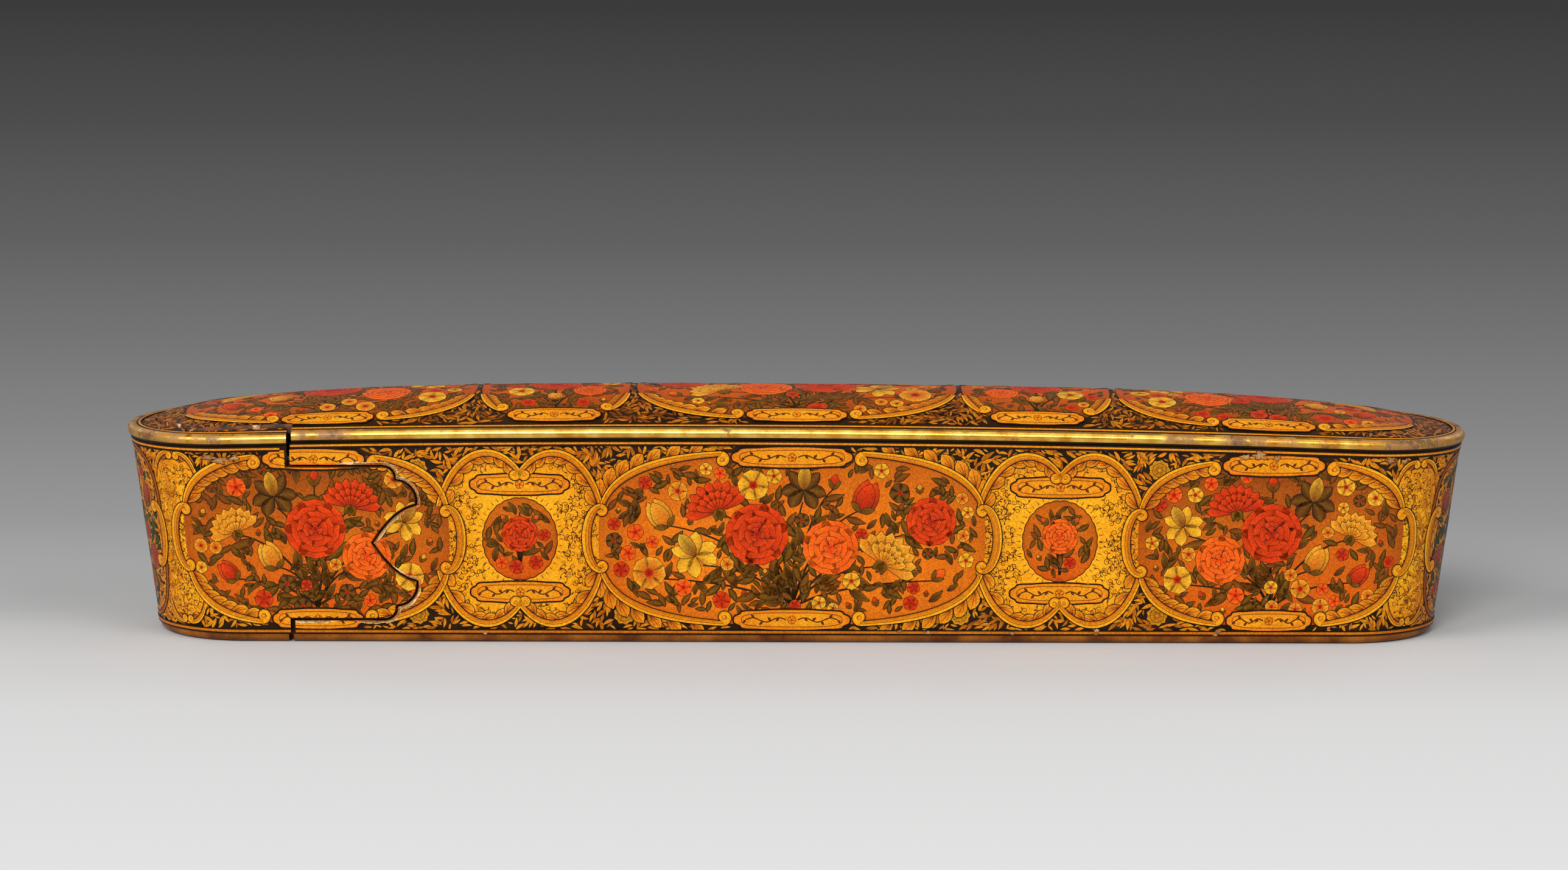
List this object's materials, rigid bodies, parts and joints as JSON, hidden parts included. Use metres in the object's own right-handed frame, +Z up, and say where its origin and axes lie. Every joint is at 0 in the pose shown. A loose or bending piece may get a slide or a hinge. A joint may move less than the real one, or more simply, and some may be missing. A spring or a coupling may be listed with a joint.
{
  "type": "sliding pen box",
  "caption": "Round-ended lacquered pen box: a painted sleeve with a pillow top and a sliding drawer with a scalloped end cap, holding an inkwell, reed pens and scribe's tools.",
  "frame": {"origin": "middle of the base's underside, at mid length and mid width", "axes": "+X along the box away from the drawer's end cap, +Y across the box, +Z up; the drawer pulls out to -X"},
  "size_m": [0.2391, 0.0378, 0.0438],
  "materials": {
    "painted_lacquer": "painted and gilded papier-mache under amber varnish",
    "tray_lacquer": "dark red-brown lacquer with gold lines",
    "inkwell_brass": "turned and aged brass",
    "tool_brass": "polished brass, handled",
    "inked_silk": "silk floss soaked with ink",
    "reed": "oiled reed with inked nib",
    "bone": "polished bone",
    "blade_steel": "ground steel"
  },
  "bodies": {
    "sleeve": {"sleeve": "painted_lacquer"},
    "drawer": {"end_cap": "painted_lacquer", "tray": "tray_lacquer", "inkwell_body": "inkwell_brass", "ink_wad": "inked_silk", "reed_pen_1": "reed", "reed_pen_2": "reed", "reed_pen_3": "reed", "reed_pen_4": "reed", "knife_handle": "bone", "knife_ferrule": "tool_brass", "knife_blade": "blade_steel", "nib_plate": "bone", "ink_spoon": "tool_brass"},
    "lid": {"inkwell_lid": "inkwell_brass"}
  },
  "joints": [
    {"name": "drawer_slide", "type": "slide", "parent": "sleeve", "child": "drawer", "axis": [-1, 0, 0], "range_m": [0, 0.195]},
    {"name": "lid_lift", "type": "slide", "parent": "drawer", "child": "lid", "axis": [0, 0, 1], "range_m": [0, 0.005]}
  ]
}
